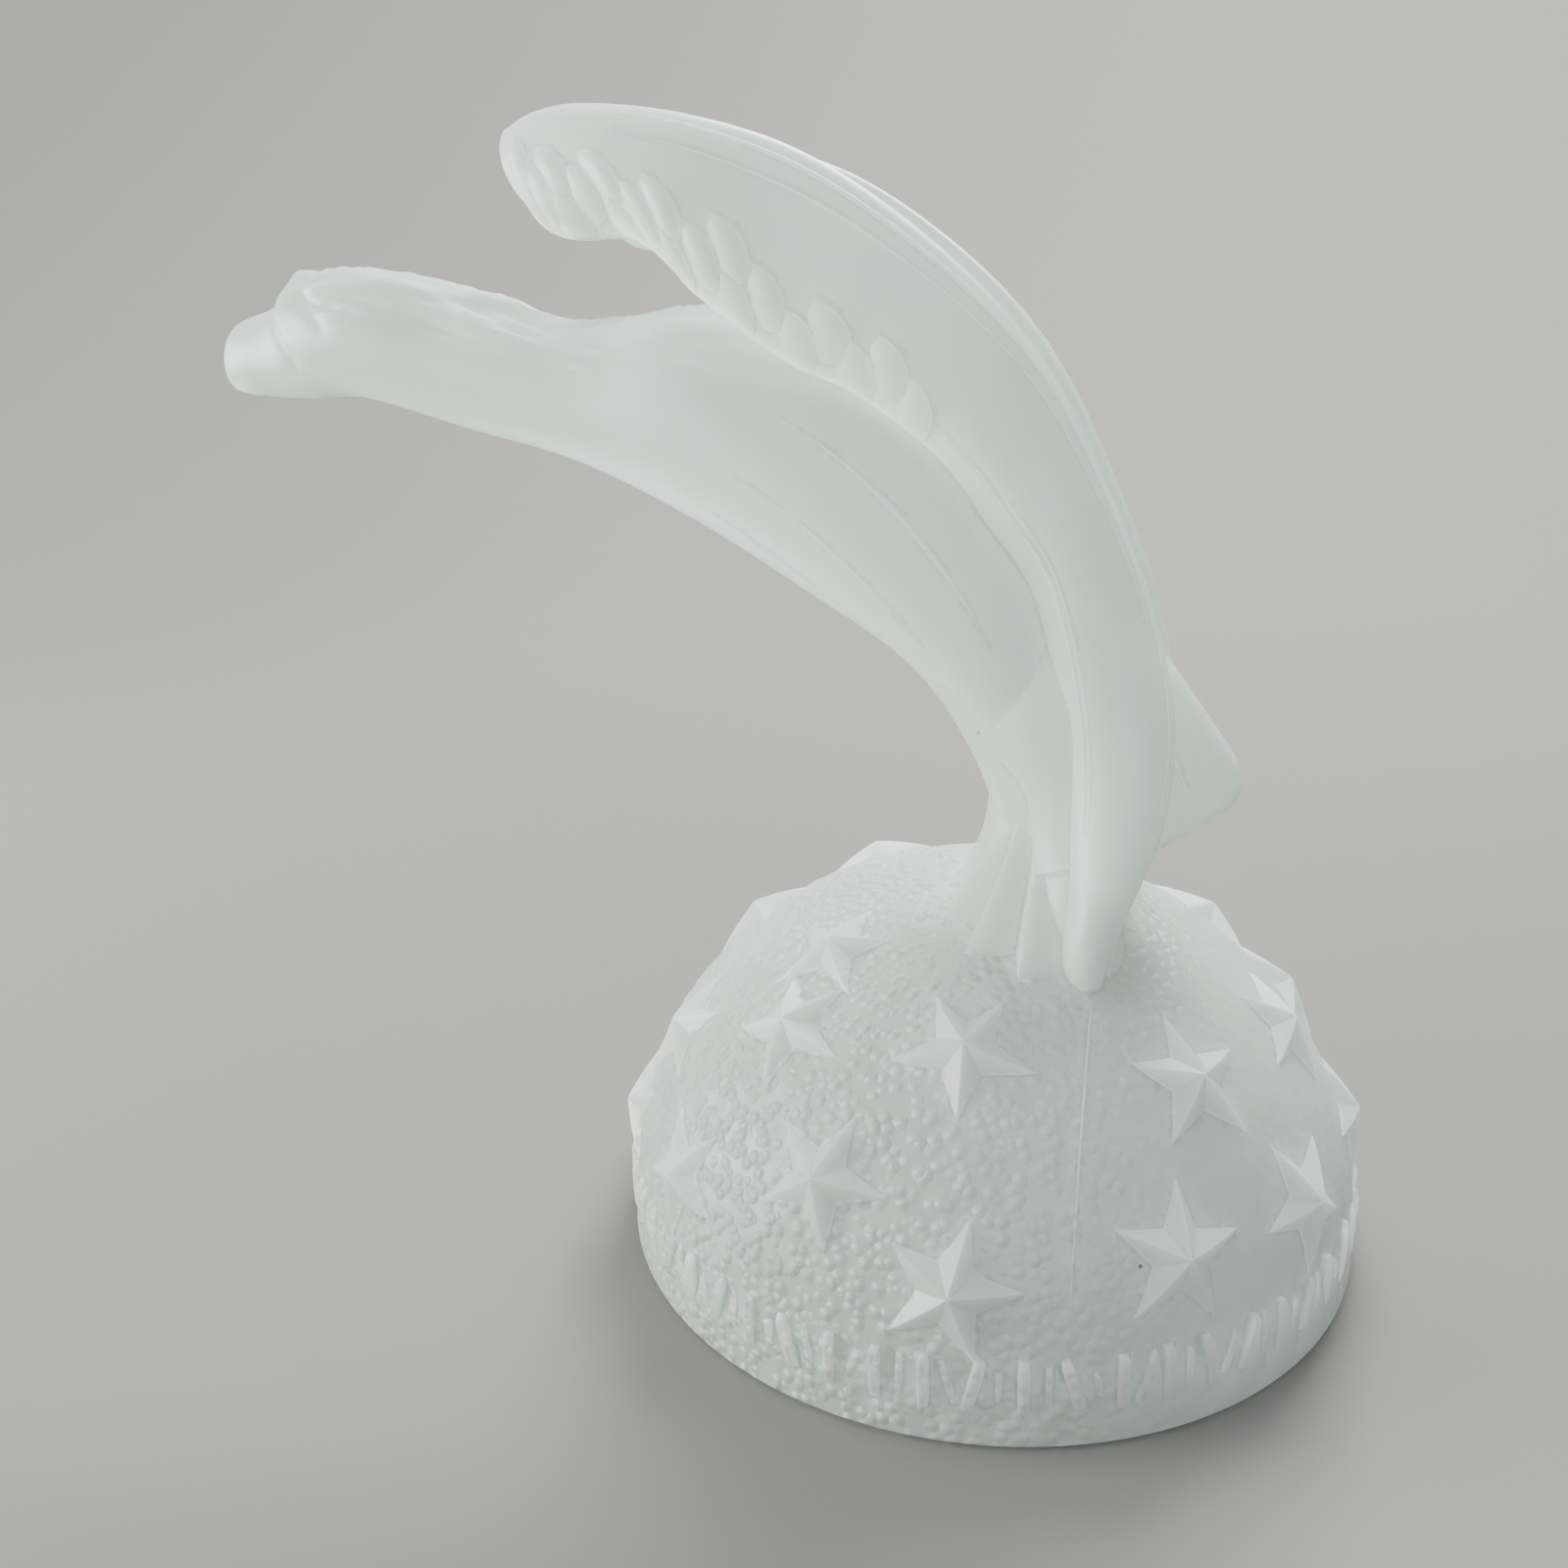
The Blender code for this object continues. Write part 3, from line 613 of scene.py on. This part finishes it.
# All forms fused into the first one, as one closed skin
def castTogether(name, forms):
    block = forms[0]
    bpy.context.scene.collection.objects.link(block)
    others = bpy.data.collections.new("castForms")
    bpy.context.scene.collection.children.link(others)
    for form in forms[1:]:
        others.objects.link(form)
    union = block.modifiers.new("cast", "BOOLEAN")
    union.operation = "UNION"
    union.solver = "MANIFOLD"
    union.operand_type = "COLLECTION"
    union.collection = others
    solid = bpy.data.meshes.new_from_object(block.evaluated_get(bpy.context.evaluated_depsgraph_get()))
    for form in forms:
        bpy.data.objects.remove(form)
    bpy.data.collections.remove(others)
    solid.name = name
    piece = bpy.data.objects.new(name, solid)
    bpy.context.scene.collection.objects.link(piece)
    return piece


# Bend at each edge: the angle between its two faces over the distance between their middles, above 0
# on a ridge and below 0 in a hollow. A point takes its sharpest ridge and its sharpest hollow.
def markRidges(mesh):
    edgeCount, loopCount, faceCount = len(mesh.edges), len(mesh.loops), len(mesh.polygons)
    loopEdge = np.empty(loopCount, np.int32)
    mesh.loops.foreach_get("edge_index", loopEdge)
    loopTotal = np.empty(faceCount, np.int32)
    mesh.polygons.foreach_get("loop_total", loopTotal)
    normal = np.empty(faceCount * 3)
    mesh.polygons.foreach_get("normal", normal)
    centre = np.empty(faceCount * 3)
    mesh.polygons.foreach_get("center", centre)
    ends = np.empty(edgeCount * 2, np.int32)
    mesh.edges.foreach_get("vertices", ends)
    normal, centre, ends = normal.reshape(-1, 3), centre.reshape(-1, 3), ends.reshape(-1, 2)
    loopFace = np.repeat(np.arange(faceCount), loopTotal)
    pair = loopFace[np.argsort(loopEdge, kind="stable")].reshape(-1, 2)
    gap = centre[pair[:, 1]] - centre[pair[:, 0]]
    angle = np.arccos(np.clip(np.einsum("ij,ij->i", normal[pair[:, 0]], normal[pair[:, 1]]), -1, 1))
    bend = angle / np.maximum(np.linalg.norm(gap, axis=1), finish["leastGap"])
    bend *= -np.sign(np.einsum("ij,ij->i", normal[pair[:, 0]], gap))
    # The ridge mask steers a painted highlight on ridges, and the hollow mask painted shade in hollows
    for label, values in (("ridge", np.maximum(bend, 0)), ("hollow", np.maximum(-bend, 0))):
        sharpest = np.zeros(len(mesh.vertices))
        for end in range(2):
            np.maximum.at(sharpest, ends[:, end], values)
        layer = mesh.attributes.new(label, "FLOAT", "POINT")
        layer.data.foreach_set("value", (sharpest / finish["sharpBend"]).astype(np.float32))


# Bare glass of the base: 1 at its surface, and 0 from a small height over it, (z - dome) / sqrt(1 + slope^2)
def markBare(mesh):
    points = np.empty(len(mesh.vertices) * 3)
    mesh.vertices.foreach_get("co", points)
    x, y, z = points.reshape(-1, 3).T
    level, step = domeLevel(x, y), 0.0002
    slopeX, slopeY = (domeLevel(x + step, y) - level) / step, (domeLevel(x, y + step) - level) / step
    over = (z - level) / np.sqrt(1 + slopeX ** 2 + slopeY ** 2)
    layer = mesh.attributes.new("bare", "FLOAT", "POINT")
    layer.data.foreach_set("value", (1 - fadeIn(over, *finish["bareFade"])).astype(np.float32))


# Finish: pale grey-green frosted glass
finish = dict(
    # The near-white tint is a painted highlight on ridges; the dark green tint is painted shade in hollows
    # and between the pebbles
    tint=(0.79, 0.94, 0.86, 1), ridgeHighlightTint=(0.98, 0.99, 0.98, 1), paintedShadeTint=(0.46, 0.62, 0.55, 1),
    paleTint=(0.88, 0.97, 0.92, 1),
    roughness=0.46, clearness=0.50, index=1.5, milkiness=0.75, milkDepth=0.004,
    sharpBend=2200.0, leastGap=0.00012, sharpAngle=32.0,
    hollowRange=(0.30, 1.2), hollowShadeShare=0.42, ridgeRange=(0.25, 1.0), ridgeHighlightShare=0.85,
    cloudRange=(0.35, 0.65), roughRange=(0.3, 0.7), roughSpread=0.05,
    bareFade=(0.00018, 0.00035), zoneSide=(-0.014, 0.026), zoneLeast=0.12,
    pebbleRange=(0.15, 0.60), valleyRange=(0.35, 0.70),
    cloudScale=45.0, pebbleScale=820.0, pebbleStrength=1.0, pebbleDistance=0.0005, pebbleGapShadeShare=0.26,
    fleckTint=(0.20, 0.17, 0.12, 1),
    flecks=(
        # x, y, z and radius
        (-0.0002, -0.0072, 0.0571, 0.00035), (0.0181, -0.0327, 0.0165, 0.00025),
    ),
)


# Node group: frosted grain. Height = pebbles x zone, with the zone on the base's bare glass and fading
# towards +X. The third output is painted shade between the pebbles, and Cloud is a slow drift of the
# frosting.
def grainGroup():
    group = bpy.data.node_groups.new("frostGrain", "ShaderNodeTree")
    group.interface.new_socket("Vector", in_out="INPUT", socket_type="NodeSocketVector")
    group.interface.new_socket("Bare", in_out="INPUT", socket_type="NodeSocketFloat")
    for label in ("Height", "Cloud", "PebbleGapShade"):
        group.interface.new_socket(label, in_out="OUTPUT", socket_type="NodeSocketFloat")
    nodes, links = group.nodes, group.links
    inlet, outlet = nodes.new("NodeGroupInput"), nodes.new("NodeGroupOutput")
    cloud = nodes.new("ShaderNodeTexNoise")
    cloud.inputs["Scale"].default_value = finish["cloudScale"]
    links.new(inlet.outputs["Vector"], cloud.inputs["Vector"])
    place = nodes.new("ShaderNodeSeparateXYZ")
    links.new(inlet.outputs["Vector"], place.inputs[0])
    side = rangeNode(nodes, links, place.outputs["X"], *finish["zoneSide"], 1.0, finish["zoneLeast"])
    zone = mathNode(nodes, links, "MULTIPLY", inlet.outputs["Bare"], side)
    pebbles = nodes.new("ShaderNodeTexVoronoi")
    pebbles.inputs["Scale"].default_value = finish["pebbleScale"]
    links.new(inlet.outputs["Vector"], pebbles.inputs["Vector"])
    distance = pebbles.outputs["Distance"]
    bumps = rangeNode(nodes, links, distance, *finish["pebbleRange"], 1.0, 0.0)
    # Painted shade: colour darkens between the pebbles, up to its share of the dark green tint
    shadeBetweenPebbles = rangeNode(nodes, links, distance, *finish["valleyRange"], 0.0, finish["pebbleGapShadeShare"])
    links.new(mathNode(nodes, links, "MULTIPLY", bumps, zone), outlet.inputs["Height"])
    links.new(mathNode(nodes, links, "MULTIPLY", shadeBetweenPebbles, zone), outlet.inputs["PebbleGapShade"])
    links.new(cloud.outputs["Fac"], outlet.inputs["Cloud"])
    return group


# Node group: a few dark flecks in the glass. Each is 1 within its radius of its place, and they add up.
def fleckGroup():
    group = bpy.data.node_groups.new("darkFlecks", "ShaderNodeTree")
    group.interface.new_socket("Vector", in_out="INPUT", socket_type="NodeSocketVector")
    group.interface.new_socket("Mask", in_out="OUTPUT", socket_type="NodeSocketFloat")
    nodes, links = group.nodes, group.links
    inlet, outlet = nodes.new("NodeGroupInput"), nodes.new("NodeGroupOutput")
    total = None
    for *spot, radius in finish["flecks"]:
        distance = nodes.new("ShaderNodeVectorMath")
        distance.operation = "DISTANCE"
        links.new(inlet.outputs["Vector"], distance.inputs[0])
        distance.inputs[1].default_value = spot
        mask = rangeNode(nodes, links, distance.outputs["Value"], radius * 0.5, radius, 1.0, 0.0)
        total = mask if total is None else mathNode(nodes, links, "ADD", total, mask)
    links.new(total, outlet.inputs["Mask"])
    return group


# One sum or product of two values, either of which may be a number
def mathNode(nodes, links, operation, a, b):
    node = nodes.new("ShaderNodeMath")
    node.operation = operation
    for slot, value in enumerate((a, b)):
        if isinstance(value, float):
            node.inputs[slot].default_value = value
        else:
            links.new(value, node.inputs[slot])
    return node.outputs[0]


# Value carried from one range to another, held inside it
def rangeNode(nodes, links, source, fromLow, fromHigh, toLow, toHigh):
    node = nodes.new("ShaderNodeMapRange")
    ranges = {"From Min": fromLow, "From Max": fromHigh, "To Min": toLow, "To Max": toHigh}
    for label, value in ranges.items():
        node.inputs[label].default_value = value
    links.new(source, node.inputs["Value"])
    return node.outputs["Result"]


# Colour a mixed towards colour b by a factor
def mixNode(nodes, links, factor, a, b):
    node = nodes.new("ShaderNodeMix")
    node.data_type = "RGBA"
    links.new(factor, node.inputs["Factor"])
    for slot, value in ((6, a), (7, b)):
        if isinstance(value, tuple):
            node.inputs[slot].default_value = value
        else:
            links.new(value, node.inputs[slot])
    return node.outputs[2]


# Glass: colour = the cloudy tint, with painted shade between the pebbles and in hollows, a painted highlight
# on ridges, and the flecks over it. Light passes straight through by its clearness, and the rest scatters
# inside by its milkiness.
def glassMaterial():
    material = bpy.data.materials.new("frostedGlass")
    material.use_nodes = True
    nodes, links = material.node_tree.nodes, material.node_tree.links
    shader = nodes["Principled BSDF"]
    place = nodes.new("ShaderNodeTexCoord").outputs["Object"]
    grain = nodes.new("ShaderNodeGroup")
    grain.node_tree = grainGroup()
    links.new(place, grain.inputs["Vector"])
    masks = {}
    for label in ("ridge", "hollow", "bare"):
        reader = nodes.new("ShaderNodeAttribute")
        reader.attribute_name = label
        masks[label] = reader.outputs["Fac"]
    links.new(masks["bare"], grain.inputs["Bare"])
    cloud = rangeNode(nodes, links, grain.outputs["Cloud"], *finish["cloudRange"], 0.0, 1.0)
    colour = mixNode(nodes, links, cloud, finish["tint"], finish["paleTint"])
    # Painted shade between the pebbles
    colour = mixNode(nodes, links, grain.outputs["PebbleGapShade"], colour, finish["paintedShadeTint"])
    # Painted shade: hollows are darkened towards the dark green tint
    hollow = rangeNode(nodes, links, masks["hollow"], *finish["hollowRange"], 0.0, finish["hollowShadeShare"])
    colour = mixNode(nodes, links, hollow, colour, finish["paintedShadeTint"])
    # Painted highlight: ridges are lightened towards near white
    ridge = rangeNode(nodes, links, masks["ridge"], *finish["ridgeRange"], 0.0, finish["ridgeHighlightShare"])
    colour = mixNode(nodes, links, ridge, colour, finish["ridgeHighlightTint"])
    flecks = nodes.new("ShaderNodeGroup")
    flecks.node_tree = fleckGroup()
    links.new(place, flecks.inputs["Vector"])
    colour = mixNode(nodes, links, flecks.outputs["Mask"], colour, finish["fleckTint"])
    links.new(colour, shader.inputs["Base Color"])
    smooth, rough = finish["roughness"] - finish["roughSpread"], finish["roughness"] + finish["roughSpread"]
    roughness = rangeNode(nodes, links, grain.outputs["Cloud"], *finish["roughRange"], smooth, rough)
    links.new(roughness, shader.inputs["Roughness"])
    bump = nodes.new("ShaderNodeBump")
    bump.inputs["Strength"].default_value = finish["pebbleStrength"]
    bump.inputs["Distance"].default_value = finish["pebbleDistance"]
    links.new(grain.outputs["Height"], bump.inputs["Height"])
    links.new(bump.outputs["Normal"], shader.inputs["Normal"])
    shader.inputs["Metallic"].default_value = 0.0
    shader.inputs["IOR"].default_value = finish["index"]
    shader.inputs["Transmission Weight"].default_value = finish["clearness"]
    shader.inputs["Subsurface Weight"].default_value = finish["milkiness"]
    shader.inputs["Subsurface Radius"].default_value = (1.0, 1.0, 1.0)
    shader.inputs["Subsurface Scale"].default_value = finish["milkDepth"]
    shader.subsurface_method = "BURLEY"
    return material


castForms = []
makeBase()
print("base made")
for number, (azimuth, share, spin) in enumerate(stars["places"]):
    makeStar(number, azimuth, share, spin)
for number in range(bars["count"]):
    makeBar(number, 0)
    makeBar(number, 1)
makeBody()
makeFlank()
makeTail()
makeFoot()
makeSeam()
for side in (-1, 1):
    makeWing(side)
    makeThigh(side)
    makeVanes(side)
    for row in range(feathers["rows"]):
        for number in range(feathers["counts"][row]):
            makeFeather(side, row, number)
print("forms made:", len(castForms))
eagle = castTogether("glassEagle", castForms)
markRidges(eagle.data)
markBare(eagle.data)
eagle.data.shade_smooth()
eagle.data.set_sharp_from_angle(angle=math.radians(finish["sharpAngle"]))
eagle.data.materials.clear()
eagle.data.materials.append(glassMaterial())
eagle.data.polygons.foreach_set("material_index", np.zeros(len(eagle.data.polygons), np.int32))
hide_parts("glass_eagle")
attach(eagle, "root")
print("casting fused:", sum(len(face.vertices) - 2 for face in eagle.data.polygons), "triangles")

# Studio: a pale floor that curves up all round, and soft lights
studio = dict(
    floorRings=(0.02, 0.15, 0.30), floorRadius=0.38, bend=0.62, bendSteps=24, wall=0.75, around=96,
    colour=(0.165, 0.163, 0.160, 1), roughness=0.9,
    lights=(
        # name, place, size, watts, colour
        ("key", (-0.50, -0.16, 0.06), 0.30, 8.5, (1.0, 0.98, 0.95)),
        ("fill", (0.30, -0.55, 0.25), 0.40, 2.0, (0.97, 0.99, 1.0)),
        ("back", (0.10, 0.85, 0.90), 0.60, 46.0, (1.0, 1.0, 0.98)),
        ("sky", (-0.20, 0.15, 1.10), 0.80, 10.0, (1.0, 1.0, 1.0)),
    ),
    target=(-0.01, 0.0, 0.05),
    skyColour=(0.80, 0.82, 0.83, 1), skyStrength=0.65,
)


# The floor's profile: flat to its radius, a quarter circle up, and then straight, turned round Z. Each
# lamp faces the target.
def makeStudio():
    quarter = np.linspace(0, math.pi / 2, studio["bendSteps"])
    outward = studio["floorRadius"] + studio["bend"] * np.sin(quarter)
    upward = studio["bend"] * (1 - np.cos(quarter))
    radius = np.concatenate([studio["floorRings"], outward, outward[-1:]])[:, None]
    level = np.concatenate([np.zeros(len(studio["floorRings"])), upward, [studio["wall"]]])[:, None]
    turn = np.linspace(0, 2 * math.pi, studio["around"], endpoint=False)[None]
    rings = np.stack(np.broadcast_arrays(radius * np.cos(turn), radius * np.sin(turn), level), -1)
    rows, sides = rings.shape[:2]
    start = np.arange(rows - 1)[:, None] * sides
    here, there = np.arange(sides), (np.arange(sides) + 1) % sides
    quads = np.stack([start + here, start + sides + here, start + sides + there, start + there], -1)
    mesh = bpy.data.meshes.new("floor")
    mesh.from_pydata(rings.reshape(-1, 3), [], quads.reshape(-1, 4).tolist() + [list(range(sides))])
    mesh.shade_smooth()
    floor = bpy.data.objects.new("floor", mesh)
    bpy.context.scene.collection.objects.link(floor)
    material = bpy.data.materials.new("paleFloor")
    material.use_nodes = True
    shader = material.node_tree.nodes["Principled BSDF"]
    shader.inputs["Base Color"].default_value = studio["colour"]
    shader.inputs["Roughness"].default_value = studio["roughness"]
    mesh.materials.append(material)
    for name, place, size, watts, colour in studio["lights"]:
        lamp = bpy.data.lights.new(name, "AREA")
        lamp.size = size
        lamp.energy = watts
        lamp.color = colour
        holder = bpy.data.objects.new(name, lamp)
        holder.location = place
        aim = np.array(studio["target"]) - place
        holder.rotation_euler = Vector(aim).to_track_quat("-Z", "Y").to_euler()
        bpy.context.scene.collection.objects.link(holder)
    world = bpy.data.worlds.new("studioSky")
    world.use_nodes = True
    world.node_tree.nodes["Background"].inputs["Color"].default_value = studio["skyColour"]
    world.node_tree.nodes["Background"].inputs["Strength"].default_value = studio["skyStrength"]
    bpy.context.scene.world = world


# Camera: its place in base radii, before the turn round Z that sets the object's heading
photoView = dict(focalPixels=1400.0, framePixels=1600.0, sensor=36.0, pitch=18.0929, roll=-1.8917, turn=16.0,
                 place=(-0.53747, -3.43774, 2.37918), clip=(0.005, 20.0))


# Axes: level right, tipped up by the pitch, rolled about the view, and all turned round Z
def makeCamera():
    pitch, roll = math.radians(photoView["pitch"]), math.radians(photoView["roll"])
    right = np.array((1.0, 0.0, 0.0))
    up = np.array((0.0, math.sin(pitch), math.cos(pitch)))
    ahead = np.array((0.0, math.cos(pitch), -math.sin(pitch)))
    axes = np.stack([math.cos(roll) * right + math.sin(roll) * up,
                     -math.sin(roll) * right + math.cos(roll) * up, -ahead], -1)
    turn = np.array(Matrix.Rotation(math.radians(photoView["turn"]), 3, "Z"))
    matrix = np.eye(4)
    matrix[:3, :3] = turn @ axes
    matrix[:3, 3] = turn @ np.array(photoView["place"]) * baseRadius
    lens = bpy.data.cameras.new("photoCamera")
    lens.sensor_width = photoView["sensor"]
    lens.lens = photoView["focalPixels"] / photoView["framePixels"] * photoView["sensor"]
    lens.clip_start, lens.clip_end = photoView["clip"]
    camera = bpy.data.objects.new("photoCamera", lens)
    camera.matrix_world = Matrix(matrix.tolist())
    bpy.context.scene.collection.objects.link(camera)
    bpy.context.scene.camera = camera


makeStudio()
makeCamera()
print("studio and camera set")
